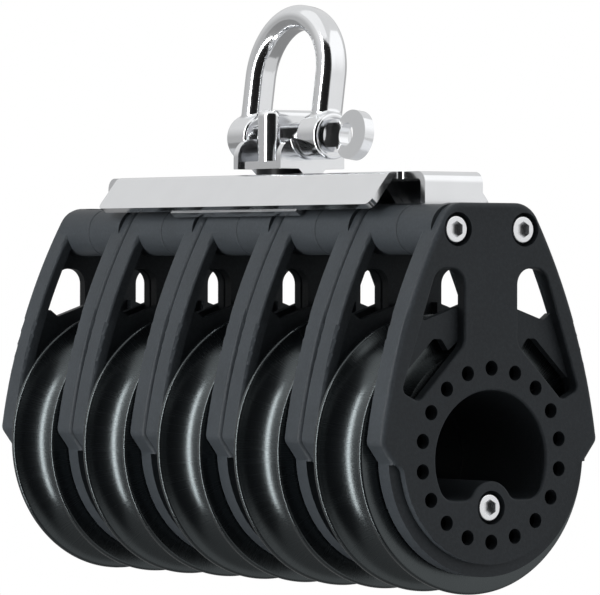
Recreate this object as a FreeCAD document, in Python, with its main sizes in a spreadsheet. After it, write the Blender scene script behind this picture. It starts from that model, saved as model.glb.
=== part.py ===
import FreeCAD, Part
import math
import os

import Sketcher

# A five-sheave block that hangs from a swivelling shackle.
# Frame: X along the sheaves' common axis, towards cheek 1; Y across; Z up.
# The origin is the centre of the middle sheave. All sizes are in millimetres.

MODULES = 5

SIZES = {
    # Stack of modules
    "pitch": 28.2,
    "race_gap": 0.4,
    # Cheek shell
    "plate": 2.4,
    "rim_depth": 5.6,
    "rim_wall": 2.4,
    "top_height": 51.0,
    "top_half": 10.3,
    "top_corner": 6.2,
    "shoulder_half": 27.6,
    "shoulder_height": 2.6,
    "shoulder_corner": 2.0,
    "side_bow": 126.0,
    "skirt_radius": 24.7,
    "skirt_drop": 1.2,
    "face_radius": 22.1,
    "face_step": 1.6,
    "face_low": 1.6,
    "face_blend": 2.2,
    "rim_round": 1.2,
    "rim_back_round": 0.7,
    "edge_round": 0.5,
    # Openings in the cheek
    "tunnel_radius": 14.0,
    "tunnel_centre": -0.9,
    "tunnel_floor": -9.0,
    "tunnel_corner": 3.6,
    "lug_radius": 5.4,
    "lug_root": 2.6,
    "hole_radius": 1.55,
    "window_inner": 6.8,
    "window_inner_low": 22.4,
    "window_top": 37.7,
    "window_top_outer": 13.7,
    "window_outer": 22.4,
    "window_outer_low": 13.0,
    "window_foot": 18.2,
    "window_foot_low": 11.0,
    "window_big_corner": 3.3,
    "window_small_corner": 1.5,
    "rib_thickness": 1.8,
    "rib_top": 30.8,
    "rib_dip": 15.1,
    "rib_dip_height": 27.2,
    "rib_horn": 17.0,
    "rib_horn_height": 28.6,
    "slot_end": 13.0,
    "slot_end_width": 2.1,
    "slot_end_height": 23.5,
    "slot_low": 21.2,
    "slot_low_height": 15.5,
    "slot_corner": 0.9,
    # Ball track and hub
    "hub_radius": 15.15,
    "ball_radius": 2.38,
    "ball_play": 0.05,
    "hub_ridge": 16.8,
    "balls_per_row": 18,
    # Sheave
    "sheave_radius": 28.5,
    "flange_thickness": 1.3,
    "flange_gap": 0.3,
    "groove_root": 22.6,
    "sheave_neck": 21.9,
    "thrust_rib": 18.3,
    # Fasteners
    "head_bolt_half": 8.5,
    "head_bolt_height": 45.6,
    "hub_bolt_height": -10.6,
    "boss_radius": 5.1,
    "boss_round": 0.4,
    "shank_radius": 2.0,
    "shank_play": 0.1,
    "head_radius": 2.8,
    "head_length": 2.4,
    "head_seat": 2.9,
    "head_recess": 3.45,
    "head_round": 0.4,
    "socket_radius": 1.7,
    "socket_depth": 1.6,
    "nut_thread_depth": 1.2,
    # Head strap
    "strap_sheet": 1.5,
    "strap_top": 57.5,
    "strap_half_top": 10.3,
    "wing_angle": 51.0,
    "wing_bottom": 50.8,
    "wing_length": 99.6,
    "wing_corner": 1.6,
    "strap_fold": 2.0,
    "tongue_bend": 2.4,
    "tongue_half": 7.4,
    "tongue_neck": 1.5,
    "tongue_ear": 4.0,
    "tongue_play": 0.05,
    # Load plate under the strap
    "load_length": 46.0,
    "load_sheet": 1.5,
    "load_drop": 1.2,
    "load_play": 0.05,
    # Swivel
    "washer_radius": 6.9,
    "washer_thickness": 1.3,
    "turn_gap": 0.05,
    "cradle_half": 8.6,
    "cradle_sheet": 1.6,
    "cradle_side_half": 8.3,
    "cradle_top": 65.2,
    "cradle_corner": 4.0,
    "cradle_notch": 3.4,
    "tab_top_half": 3.6,
    "tab_bottom_half": 2.2,
    "post_thickness": 6.0,
    "post_length": 14.8,
    "post_top": 71.3,
    "post_round": 1.4,
    "stud_radius": 3.9,
    "stud_play": 0.05,
    "nut_radius": 7.0,
    "nut_height": 2.9,
    # Shackle
    "pin_height": 65.6,
    "pin_radius": 3.0,
    "pin_play": 0.05,
    "leg_spacing": 25.6,
    "bow_thickness": 5.2,
    "bow_width": 6.8,
    "bow_height": 28.3,
    "ear_radius": 5.0,
    "ear_thickness": 7.0,
    "ear_round": 0.8,
    "ear_blend": 1.2,
    "ear_sink_radius": 4.0,
    "ear_sink": 1.2,
    "collar_radius": 3.5,
    "collar_length": 2.2,
    "paddle_radius": 5.2,
    "paddle_centre": 23.6,
    "paddle_thickness": 2.4,
    "paddle_neck": 2.6,
    "eye_radius": 2.45,
    "eye_centre": 22.1,
    "shackle_lean": 7.5,
}

# Edges are found by their places to within NEAR, and levels are compared to within EXACT.
NEAR = 0.05
EXACT = 1e-5
FULL_TURN = 360
HALF_TURN = 180

doc = FreeCAD.newDocument("FiveSheaveBlock")
sheet = doc.addObject("Spreadsheet::Sheet", "Sizes")
for row, (alias, value) in enumerate(SIZES.items(), start=1):
    sheet.set(f"A{row}", alias)
    sheet.set(f"B{row}", str(value))
    sheet.setAlias(f"B{row}", alias)
doc.recompute()


def formula(text):
    """Write every size in a formula as a reference to its cell in the sheet."""
    out = []
    word = ""
    for letter in text + " ":
        if letter.isalnum() or letter == "_":
            word += letter
            continue
        out.append(f"Sizes.{word}" if word in SIZES else word)
        out.append(letter)
        word = ""
    return "".join(out).strip()


def size(text):
    """The present value of a formula of sizes, in millimetres or degrees."""
    value = sheet.evalExpression(formula(text))
    return float(getattr(value, "Value", value))


def bind(thing, prop, text):
    """Tie one property of an object to a formula of sizes."""
    thing.setExpression(prop, formula(text))


def place(thing, x="0", y="0", z="0", turn=None):
    """Place an object by formulas; turn is (axis vector, angle formula)."""
    if turn:
        axis, angle = turn
        thing.Placement = FreeCAD.Placement(FreeCAD.Vector(), FreeCAD.Rotation(axis, size(angle)))
        bind(thing, "Placement.Rotation.Angle", angle)
    for letter, text in zip("xyz", (x, y, z)):
        bind(thing, f"Placement.Base.{letter}", text)


def new_body(label):
    """An empty body with its label, which is also its file's name."""
    body = doc.addObject("PartDesign::Body", label)
    body.Label = label
    return body


def origin_plane(body, role):
    """One of a body's own origin planes."""
    return next(item for item in body.Origin.OriginFeatures if item.Role == role)


def new_sketch(body, name, role, offset=None):
    """A sketch on one of the body's own origin planes, moved along its normal by a formula."""
    sketch = body.newObject("Sketcher::SketchObject", name)
    sketch.AttachmentSupport = [(origin_plane(body, role), "")]
    sketch.MapMode = "FlatFace"
    if offset:
        bind(sketch, "AttachmentOffset.Base.z", offset)
    return sketch


def add_circle(sketch, radius, x="0", y="0"):
    """A circle held by its centre and radius."""
    centre = FreeCAD.Vector(size(x), size(y), 0)
    index = sketch.addGeometry(Part.Circle(centre, FreeCAD.Vector(0, 0, 1), size(radius)))
    fix_point(sketch, index, 3, x, y)
    constraint = sketch.addConstraint(Sketcher.Constraint("Radius", index, size(radius)))
    sketch.setExpression(f"Constraints[{constraint}]", formula(radius))
    return index


def fix_point(sketch, index, end, x, y):
    """Hold one point of a sketch at a pair of formulas, measured from the sketch's origin."""
    for kind, text in (("DistanceX", x), ("DistanceY", y)):
        value = size(text)
        if text == "0":
            axis = -2 if kind == "DistanceX" else -1
            sketch.addConstraint(Sketcher.Constraint("PointOnObject", index, end, axis))
            continue
        constraint = sketch.addConstraint(Sketcher.Constraint(kind, -1, 1, index, end, value))
        sketch.setExpression(f"Constraints[{constraint}]", formula(text))


def arc_middle(start, stop, radius):
    """The middle of the arc from start to stop; a positive radius turns left, a negative one right."""
    chord = stop - start
    half = chord.Length / 2
    rise = abs(radius) - math.sqrt(max(radius * radius - half * half, 0.0))
    side = FreeCAD.Vector(chord.y, -chord.x, 0).normalize()
    return (start + stop) * 0.5 + side * math.copysign(rise, radius)


def add_outline(sketch, corners):
    """A closed outline. Each corner is (x, y) or (x, y, radius), the radius of the arc that leads to it."""
    points = [FreeCAD.Vector(size(corner[0]), size(corner[1]), 0) for corner in corners]
    ends = []
    for number, corner in enumerate(corners):
        start = points[number - 1]
        stop = points[number]
        if len(corner) == 3:
            middle = arc_middle(start, stop, size(corner[2]))
            index = sketch.addGeometry(Part.Arc(start, middle, stop))
            swapped = sketch.getPoint(index, 1).distanceToPoint(start) > EXACT
            radius = corner[2].lstrip("-")
            constraint = sketch.addConstraint(Sketcher.Constraint("Radius", index, size(radius)))
            sketch.setExpression(f"Constraints[{constraint}]", formula(radius))
        else:
            index = sketch.addGeometry(Part.LineSegment(start, stop))
            swapped = False
        ends.append((index, 2 if swapped else 1, 1 if swapped else 2))
    for number, (index, first, last) in enumerate(ends):
        following = ends[(number + 1) % len(ends)]
        sketch.addConstraint(Sketcher.Constraint("Coincident", index, last, following[0], following[1]))
        fix_point(sketch, index, last, corners[number][0], corners[number][1])


def pad(body, sketch, length, name, reverse=False, middle=False):
    """Pad a sketch by a formula."""
    feature = body.newObject("PartDesign::Pad", name)
    feature.Profile = sketch
    bind(feature, "Length", length)
    feature.Reversed = reverse
    feature.Midplane = middle
    doc.recompute()
    return feature


def pocket(body, sketch, length, name, reverse=False, middle=False):
    """Pocket a sketch by a formula, and stop if it cuts nothing."""
    before = body.Shape.Volume
    feature = body.newObject("PartDesign::Pocket", name)
    feature.Profile = sketch
    bind(feature, "Length", length)
    feature.Reversed = reverse
    feature.Midplane = middle
    doc.recompute()
    if not feature.Shape.Volume < before - EXACT:
        raise RuntimeError(f"{body.Label}: {name} cuts nothing")
    return feature


def edges_where(shape, test):
    """Names of the edges that pass a test of their middle point and direction."""
    names = []
    for number, edge in enumerate(shape.Edges, start=1):
        if edge.Length < EXACT:
            continue
        first, last = edge.ParameterRange
        middle = edge.valueAt((first + last) / 2)
        along = edge.tangentAt((first + last) / 2)
        if test(edge, middle, along):
            names.append(f"Edge{number}")
    return names


def round_edges(body, name, radius, test):
    """Fillet the edges of a body's last shape that pass a test."""
    doc.recompute()
    base = body.Tip
    names = edges_where(base.Shape, test)
    if not names:
        raise RuntimeError(f"{body.Label}: {name} finds no edge")
    feature = body.newObject("PartDesign::Fillet", name)
    feature.Base = (base, names)
    bind(feature, "Radius", radius)
    doc.recompute()
    return feature


def along_x_at(points):
    """A test for edges parallel to X that pass one of some (y, z) formula pairs."""
    places = [(size(y), size(z)) for y, z in points]

    def test(edge, middle, along):
        if abs(abs(along.x) - 1) > EXACT or not isinstance(edge.Curve, Part.Line):
            return False
        return any(math.hypot(middle.y - y, middle.z - z) < NEAR for y, z in places)

    return test


# Cheeks. Each is drawn with its outer face on X = 0 and its inside towards -X.

MID = "pitch / 2"
STACK_HALF = f"{MODULES} / 2 * pitch"
TONGUE_END = "head_bolt_height - tongue_ear"
BOLTS = [("head_bolt_half", "head_bolt_height"), ("-head_bolt_half", "head_bolt_height"),
         ("0", "hub_bolt_height")]


def rectangle(half, low, high):
    """Corners of an upright rectangle, symmetric about the sketch's vertical axis."""
    return [(half, low), (half, high), (f"-({half})", high), (f"-({half})", low)]


def stadium(half_x, half_y, x="0"):
    """Corners of an upright slot shape with round ends, centred on (x, 0)."""
    straight = f"({half_y} - {half_x})"
    return [
        (f"{x} + {half_x}", f"-{straight}", half_x),
        (f"{x} + {half_x}", straight),
        (x, half_y, half_x),
        (f"{x} - {half_x}", straight, half_x),
        (f"{x} - {half_x}", f"-{straight}"),
        (x, f"-({half_y})", half_x),
    ]


def cheek_outline(sketch):
    """The outside of a cheek: a narrow top, bowed sides, shoulders and a round skirt."""
    add_outline(sketch, [
        ("top_half", "top_height"),
        ("shoulder_half", "shoulder_height", "-side_bow"),
        ("sqrt(skirt_radius^2 - skirt_drop^2)", "-skirt_drop"),
        ("-sqrt(skirt_radius^2 - skirt_drop^2)", "-skirt_drop", "-skirt_radius"),
        ("-shoulder_half", "shoulder_height"),
        ("-top_half", "top_height", "-side_bow"),
    ])


def build_cheek(label, strap_side):
    """One moulded cheek: a rimmed shell with a hub, two head bosses, windows and flushing holes."""
    body = new_body(label)
    shell = new_sketch(body, f"{label}_outline", "YZ_Plane")
    cheek_outline(shell)
    pad(body, shell, "rim_depth", f"{label}_block", reverse=True)
    round_edges(body, f"{label}_top_corners", "top_corner",
                along_x_at([("top_half", "top_height"), ("-top_half", "top_height")]))
    base = body.Tip
    opening = back_face(base.Shape)
    hollow = body.newObject("PartDesign::Thickness", f"{label}_hollow")
    hollow.Base = (base, [opening])
    bind(hollow, "Value", "rim_wall")
    hollow.Reversed = True
    hollow.Join = "Intersection"
    doc.recompute()
    round_edges(body, f"{label}_shoulders", "shoulder_corner",
                along_x_at([("shoulder_half", "shoulder_height"), ("-shoulder_half", "shoulder_height")]))
    round_edges(body, f"{label}_rim_round", "rim_round", in_plane_x(0.0))
    rim = body.Tip.Shape.getElement(back_face(body.Tip.Shape)).OuterWire
    round_edges(body, f"{label}_rim_back_round", "rim_back_round", in_wire(rim))
    add_face_step(body, label)
    add_hub(body, label)
    add_bosses(body, label, strap_side)
    cut_tunnel(body, label)
    cut_windows(body, label)
    soften_face(body, label)
    cut_flushing_holes(body, label)
    cut_bolt_holes(body, label)
    return body


def back_face(shape):
    """The flat face that looks into the module."""
    for number, face in enumerate(shape.Faces, start=1):
        middle = face.CenterOfMass
        on_level = abs(middle.x + size("rim_depth")) < EXACT
        if on_level and abs(abs(face.normalAt(0, 0).x) - 1) < EXACT:
            return f"Face{number}"
    raise RuntimeError("no back face")


def in_plane_x(level):
    """A test for edges that lie in a plane of constant X."""
    def test(edge, middle, along):
        places = [vertex.Point.x for vertex in edge.Vertexes] + [middle.x]
        return all(abs(x - level) < EXACT for x in places)

    return test


def in_wire(wire):
    """A test for the edges of one wire."""
    def test(edge, middle, along):
        return any(edge.isSame(side) for side in wire.Edges)

    return test


def add_face_step(body, label):
    """Set the skirt below the shoulders back from the raised face, with a curve from one to the other."""
    step = new_sketch(body, f"{label}_step_outline", "YZ_Plane")
    outside = "(skirt_radius + rim_depth)"
    inner_half = "sqrt(face_radius^2 - face_low^2)"
    outer_half = f"sqrt({outside}^2 - face_low^2)"
    add_outline(step, [
        (inner_half, "-face_low"),
        (f"-{inner_half}", "-face_low", "-face_radius"),
        (f"-{outer_half}", "-face_low"),
        (outer_half, "-face_low", outside),
    ])
    pocket(body, step, "face_step", f"{label}_step")
    round_edges(body, f"{label}_face_blend", "face_blend",
                along_x_at([(inner_half, "-face_low"), (f"-{inner_half}", "-face_low")]))


def add_hub(body, label):
    """The fixed inner race, a ridge that keeps the balls in their track, and the screw lug."""
    race = new_sketch(body, f"{label}_race_outline", "YZ_Plane", "-plate / 2")
    add_circle(race, "hub_radius")
    pad(body, race, f"{MID} - plate / 2", f"{label}_race", reverse=True)
    ridge = new_sketch(body, f"{label}_ridge_outline", "YZ_Plane", f"-({MID})")
    add_circle(ridge, "hub_ridge")
    pad(body, ridge, f"{MID} - plate - 2 * ball_radius - 3 * ball_play", f"{label}_ridge")


def add_bosses(body, label, strap_side):
    """Two posts round the head bolts, which meet those of the other cheek at the middle."""
    posts = new_sketch(body, f"{label}_boss_outline", "YZ_Plane", "-plate")
    for side in ("", "-"):
        add_circle(posts, "boss_radius", f"{side}head_bolt_half", "head_bolt_height")
    pad(body, posts, f"{MID} - plate", f"{label}_bosses", reverse=True)
    round_edges(body, f"{label}_boss_ends", "boss_round", boss_ends)
    if strap_side:
        seat_depth = "strap_sheet + tongue_play"
        ears = new_sketch(body, f"{label}_ear_seat_outline", "YZ_Plane", f"-({MID})")
        for side in ("", "-"):
            add_circle(ears, "tongue_ear + tongue_play", f"{side}head_bolt_half", "head_bolt_height")
        pocket(body, ears, seat_depth, f"{label}_ear_seat", reverse=True)
        tongue = new_sketch(body, f"{label}_tongue_seat_outline", "YZ_Plane", f"-({MID})")
        add_outline(tongue, rectangle("tongue_half + tongue_play", f"{TONGUE_END} - tongue_play", "top_height"))
        pocket(body, tongue, seat_depth, f"{label}_tongue_seat", reverse=True)


def boss_ends(edge, middle, along):
    """A test for the end edges of the bosses."""
    return in_plane_x(-size(MID))(edge, middle, along) and middle.z > size("head_bolt_height - 2 * boss_radius")


def cut_tunnel(body, label):
    """The open hub: a round tunnel with a flat floor that rises round the hub bolt."""
    floor_half = "sqrt(tunnel_radius^2 - (tunnel_floor - tunnel_centre)^2)"
    lug_half = "sqrt(lug_radius^2 - (tunnel_floor - hub_bolt_height)^2)"
    mouth = new_sketch(body, f"{label}_tunnel_outline", "YZ_Plane")
    add_outline(mouth, [
        (floor_half, "tunnel_floor"),
        ("0", "tunnel_centre + tunnel_radius", "tunnel_radius"),
        (f"-{floor_half}", "tunnel_floor", "tunnel_radius"),
        (f"-{lug_half}", "tunnel_floor"),
        (lug_half, "tunnel_floor", "-lug_radius"),
    ])
    pocket(body, mouth, MID, f"{label}_tunnel")
    round_edges(body, f"{label}_tunnel_corners", "tunnel_corner",
                along_x_at([(floor_half, "tunnel_floor"), (f"-{floor_half}", "tunnel_floor")]))
    round_edges(body, f"{label}_lug_roots", "lug_root",
                along_x_at([(lug_half, "tunnel_floor"), (f"-{lug_half}", "tunnel_floor")]))


WINDOW = [
    ("window_inner", "window_inner_low"),
    ("window_inner", "window_top"),
    ("window_top_outer", "window_top"),
    ("window_outer", "window_outer_low"),
    ("window_foot", "window_foot_low"),
]


def mirrored(corners):
    """The same corners on the other side of the centre web."""
    return [(f"-({y})", z) for y, z in corners]


def cut_windows(body, label):
    """A window each side of the centre web, crossed by a sunk rib."""
    for side, flip in (("right", list), ("left", mirrored)):
        corners = flip(WINDOW)
        opening = new_sketch(body, f"{label}_{side}_window_outline", "YZ_Plane")
        add_outline(opening, corners)
        pocket(body, opening, "plate", f"{label}_{side}_window")
        round_edges(body, f"{label}_{side}_window_big_corners", "window_big_corner", along_x_at(corners[:3]))
        round_edges(body, f"{label}_{side}_window_small_corners", "window_small_corner",
                    along_x_at(corners[3:]))
        add_rib(body, label, side, flip)


def add_rib(body, label, side, flip):
    """The sunk rib behind a window, with a slanted slot under it."""
    under = "window_inner - rim_wall"
    bearing = "rim_wall / 2"
    corners = flip([
        (under, "rib_top"),
        ("rib_dip", "rib_dip_height"),
        ("rib_horn", "rib_horn_height"),
        (f"rib_horn + 2 * {bearing}", "rib_horn_height"),
        (f"slot_low + {bearing}", "slot_low_height"),
        ("slot_low", "slot_low_height"),
        ("slot_end", "slot_end_height"),
        ("slot_end - slot_end_width", "slot_end_height"),
        ("window_inner + rim_wall", "window_inner_low - rim_wall / 2"),
        (under, "window_inner_low + rim_wall"),
    ])
    rib = new_sketch(body, f"{label}_{side}_rib_outline", "YZ_Plane", "-plate")
    add_outline(rib, corners)
    pad(body, rib, "rib_thickness", f"{label}_{side}_rib", reverse=True)
    round_edges(body, f"{label}_{side}_slot_corners", "slot_corner", along_x_at(corners[6:8]))


def soften_face(body, label):
    """Round the edges of the windows and of the hub's mouth, as a mould leaves them."""
    def test(edge, middle, along):
        across = abs(middle.y)
        in_span = size("window_inner") - NEAR < across < size("window_outer") + NEAR
        in_height = size("window_foot_low") - NEAR < middle.z < size("window_top") + NEAR
        at_hub = math.hypot(middle.y, middle.z) < size("tunnel_radius - tunnel_centre") + NEAR
        return in_plane_x(0.0)(edge, middle, along) and (at_hub or (in_span and in_height))

    round_edges(body, f"{label}_soft_edges", "edge_round", test)


def cut_flushing_holes(body, label):
    """A ring of holes over the ball track, one to each ball."""
    hole = new_sketch(body, f"{label}_flushing_hole_outline", "YZ_Plane")
    add_circle(hole, "hole_radius", "0", "hub_radius + ball_play + ball_radius")
    cut = pocket(body, hole, "plate", f"{label}_flushing_hole")
    ring = body.newObject("PartDesign::PolarPattern", f"{label}_flushing_holes")
    ring.Originals = [cut]
    ring.Axis = (hole, ["N_Axis"])
    bind(ring, "Occurrences", "balls_per_row")
    ring.Angle = FULL_TURN
    body.Tip = ring
    doc.recompute()


def cut_bolt_holes(body, label):
    """Clearance holes through the cheek, with round seats for the heads or nuts."""
    shanks = new_sketch(body, f"{label}_shank_outline", "YZ_Plane")
    seats = new_sketch(body, f"{label}_seat_outline", "YZ_Plane")
    for y, z in BOLTS:
        add_circle(shanks, "shank_radius + shank_play", y, z)
        add_circle(seats, "head_recess", y, z)
    pocket(body, shanks, MID, f"{label}_shanks")
    pocket(body, seats, "head_seat", f"{label}_seats")


# Sheaves and balls. Each is drawn round the X axis, with the module's middle on X = 0.

BALL_TRACK = "hub_radius + ball_play + ball_radius"
BALL_OFFSET = f"{MID} - plate - ball_play - ball_radius"


def build_sheave(label):
    """A wide round-grooved sheave, with a ball race each side of a thrust rib."""
    body = new_body(label)
    profile = new_sketch(body, f"{label}_profile", "XY_Plane")
    rib = f"{MID} - plate - 2 * ball_radius - 2 * ball_play"
    neck = f"{MID} - plate - race_gap"
    flange = f"{MID} - rim_depth - flange_gap"
    lip = f"{flange} - flange_thickness"
    bore = "hub_radius + 2 * ball_play + 2 * ball_radius"
    groove = f"(({lip})^2 + (sheave_radius - groove_root)^2) / (2 * (sheave_radius - groove_root))"
    add_outline(profile, [
        (rib, "thrust_rib"),
        (rib, bore),
        (neck, bore),
        (neck, "sheave_neck"),
        (flange, "sheave_neck"),
        (flange, "sheave_radius"),
        (lip, "sheave_radius"),
        (f"-({lip})", "sheave_radius", f"-({groove})"),
        (f"-({flange})", "sheave_radius"),
        (f"-({flange})", "sheave_neck"),
        (f"-({neck})", "sheave_neck"),
        (f"-({neck})", bore),
        (f"-({rib})", bore),
        (f"-({rib})", "thrust_rib"),
    ])
    revolve(body, profile, f"{label}_turned")
    return body


def revolve(body, sketch, name, axis="H_Axis", angle=FULL_TURN):
    """Turn a profile round one of its sketch's axes."""
    feature = body.newObject("PartDesign::Revolution", name)
    feature.Profile = sketch
    feature.ReferenceAxis = (sketch, [axis])
    feature.Angle = angle
    doc.recompute()
    return feature


def build_balls(label):
    """The two rows of loose balls of one module, as one group."""
    count = int(size("balls_per_row"))
    balls = []
    for side in ("", "-"):
        for number in range(count):
            ball = doc.addObject("Part::Sphere", f"{label}_ball")
            bind(ball, "Radius", "ball_radius")
            angle = f"(({number} + 1 / 2) * 360 / balls_per_row)"
            place(ball, f"{side}({BALL_OFFSET})", f"({BALL_TRACK}) * sin({angle})",
                  f"({BALL_TRACK}) * cos({angle})")
            balls.append(ball)
    return group_of(label, balls)


def copy_of(label, master):
    """A node of its own with the shape of a piece that is drawn once."""
    body = new_body(label)
    body.BaseFeature = master
    return body


# Fasteners

def build_bolt(label, y, z):
    """A long round-headed bolt through every cheek, with a hexagon socket."""
    body = new_body(label)
    head = new_sketch(body, f"{label}_head_outline", "YZ_Plane")
    add_circle(head, "head_radius")
    pad(body, head, "head_length", f"{label}_head")
    round_edges(body, f"{label}_head_edge", "head_round", in_plane_x(size("head_length")))
    shank = new_sketch(body, f"{label}_shank_outline", "YZ_Plane")
    add_circle(shank, "shank_radius")
    pad(body, shank, f"2 * ({STACK_HALF}) - 2 * head_seat + nut_thread_depth", f"{label}_shank", reverse=True)
    cut_socket(body, label)
    place(body, f"{STACK_HALF} - head_seat", y, z)
    return body


def build_nut(label, y, z):
    """A round blind nut on the far end of a bolt."""
    body = new_body(label)
    head = new_sketch(body, f"{label}_head_outline", "YZ_Plane")
    add_circle(head, "head_radius")
    pad(body, head, "head_length", f"{label}_head")
    round_edges(body, f"{label}_head_edge", "head_round", in_plane_x(size("head_length")))
    thread = new_sketch(body, f"{label}_thread_outline", "YZ_Plane")
    add_circle(thread, "shank_radius")
    pocket(body, thread, "nut_thread_depth", f"{label}_thread", reverse=True)
    cut_socket(body, label, "socket_depth / 2")
    place(body, f"-({STACK_HALF} - head_seat)", y, z, (FreeCAD.Vector(0, 0, 1), f"{HALF_TURN}"))
    return body


def cut_socket(body, label, depth="socket_depth"):
    """A hexagon socket in the outer end of a bolt or nut."""
    well = new_sketch(body, f"{label}_socket_outline", "YZ_Plane", "head_length")
    flat = "socket_radius * sqrt(3) / 2"
    half = "socket_radius / 2"
    add_outline(well, [
        (flat, f"-{half}"),
        (flat, half),
        ("0", "socket_radius"),
        (f"-{flat}", half),
        (f"-{flat}", f"-{half}"),
        ("0", "-socket_radius"),
    ])
    pocket(body, well, depth, f"{label}_socket")


def group_of(label, members):
    """Like fasteners as one named group of separate solids."""
    group = doc.addObject("Part::Compound", label)
    group.Label = label
    group.Links = members
    return group


# Head strap and load plate. Both are folded from sheet, with sloping wings.

def channel_half(inset):
    """Half the flat top of a channel whose outside lies an inset inside the strap's outside."""
    return f"(strap_half_top - ({inset}) * tan(wing_angle / 2))"


def channel_corners(inset, sheet_name, bottom):
    """The section of a folded channel: a flat top and two sloping wings, cut square at their ends."""
    top = f"(strap_top - ({inset}))"
    inner = f"{inset} + {sheet_name}"
    foot = f"({channel_half(inset)} + ({top} - ({bottom})) / tan(wing_angle))"
    right = [
        (channel_half(inset), top),
        (foot, bottom),
        (f"{foot} - {sheet_name} * sin(wing_angle)", f"{bottom} - {sheet_name} * cos(wing_angle)"),
        (channel_half(inner), f"strap_top - ({inner})"),
    ]
    left = [(f"-({y})", z) for y, z in reversed(right)]
    return right + left


def build_strap():
    """The head strap: a long winged channel with a tongue folded down at each end."""
    label = "head_strap"
    body = new_body(label)
    section = new_sketch(body, f"{label}_section", "YZ_Plane")
    corners = channel_corners("0", "strap_sheet", "wing_bottom")
    add_outline(section, corners)
    pad(body, section, "wing_length", f"{label}_channel", middle=True)
    round_edges(body, f"{label}_folds", "strap_fold", along_x_at([corners[0], corners[7]]))
    round_edges(body, f"{label}_wing_corners", "wing_corner", wing_ends)
    for side, sign in (("near", ""), ("far", "-")):
        add_tongue(body, f"{label}_{side}", sign)
    round_edges(body, f"{label}_necks", "tongue_neck", upright_at("wing_length / 2", "tongue_half"))
    cut_stud_hole(body, label)
    return body


def wing_ends(edge, middle, along):
    """A test for the short edges at the lower ends of the wings."""
    at_end = abs(abs(middle.x) - size("wing_length / 2")) < NEAR
    return at_end and middle.z < size("wing_bottom") and edge.Length < size("strap_sheet") + NEAR


def upright_at(x, y):
    """A test for upright edges at the four places (+-x, +-y)."""
    far_x = size(x)
    far_y = size(y)

    def test(edge, middle, along):
        if abs(abs(along.z) - 1) > EXACT:
            return False
        return abs(abs(middle.x) - far_x) < NEAR and abs(abs(middle.y) - far_y) < NEAR

    return test


def add_tongue(body, label, sign):
    """One end of the strap: it bends down between two cheeks and takes both head bolts."""
    inside = f"({STACK_HALF} - {MID})"
    outside = f"({inside} + strap_sheet)"
    outer_bend = "tongue_bend"
    inner_bend = "tongue_bend - strap_sheet"
    root = "wing_length / 2 - strap_sheet"
    bend_height = "strap_top - tongue_bend"
    bend_start = f"{outside} - tongue_bend"
    profile = new_sketch(body, f"{label}_tongue_profile", "XZ_Plane")
    add_outline(profile, [
        (f"{sign}({root})", "strap_top"),
        (f"{sign}({bend_start})", "strap_top"),
        (f"{sign}({outside})", bend_height, opposite(sign, outer_bend)),
        (f"{sign}({outside})", TONGUE_END),
        (f"{sign}({inside})", TONGUE_END),
        (f"{sign}({inside})", bend_height),
        (f"{sign}({bend_start})", "strap_top - strap_sheet", same(sign, inner_bend)),
        (f"{sign}({root})", "strap_top - strap_sheet"),
    ])
    pad(body, profile, "2 * tongue_half", f"{label}_tongue", middle=True)
    ears = new_sketch(body, f"{label}_ears_outline", "YZ_Plane", f"{sign}({inside})")
    holes = new_sketch(body, f"{label}_holes_outline", "YZ_Plane", f"{sign}({inside})")
    for y in ("head_bolt_half", "-head_bolt_half"):
        add_circle(ears, "tongue_ear", y, "head_bolt_height")
        add_circle(holes, "shank_radius + shank_play", y, "head_bolt_height")
    pad(body, ears, "strap_sheet", f"{label}_ears", reverse=bool(sign))
    pocket(body, holes, "strap_sheet", f"{label}_holes", reverse=not sign)


def opposite(sign, radius):
    """An arc that turns right on the near end and left on the far end."""
    return f"({radius})" if sign else f"-({radius})"


def same(sign, radius):
    """An arc that turns left on the near end and right on the far end."""
    return f"-({radius})" if sign else f"({radius})"


def cut_stud_hole(body, label):
    """The hole that the swivel's stud turns in."""
    hole = new_sketch(body, f"{label}_stud_outline", "XY_Plane")
    add_circle(hole, "stud_radius + stud_play")
    pocket(body, hole, "strap_top + strap_sheet", f"{label}_stud_hole", reverse=True)


def build_load_plate():
    """A short channel nested under the strap, which spreads the swivel's load."""
    label = "load_plate"
    body = new_body(label)
    section = new_sketch(body, f"{label}_section", "YZ_Plane")
    corners = channel_corners("strap_sheet + load_play", "load_sheet", "wing_bottom - load_drop")
    add_outline(section, corners)
    pad(body, section, "load_length", f"{label}_channel", middle=True)
    cut_stud_hole(body, label)
    return body


# Swivel

CRADLE_BOTTOM = "strap_top + washer_thickness"
CRADLE_FLOOR = f"{CRADLE_BOTTOM} + cradle_sheet"


def build_washer():
    """The plastic washer that the swivel turns on."""
    body = new_body("swivel_washer")
    ring = new_sketch(body, "swivel_washer_outline", "XY_Plane", "strap_top")
    add_circle(ring, "washer_radius")
    pad(body, ring, "washer_thickness - turn_gap", "swivel_washer_disc")
    cut_stud_hole(body, "swivel_washer")
    return body


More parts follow.
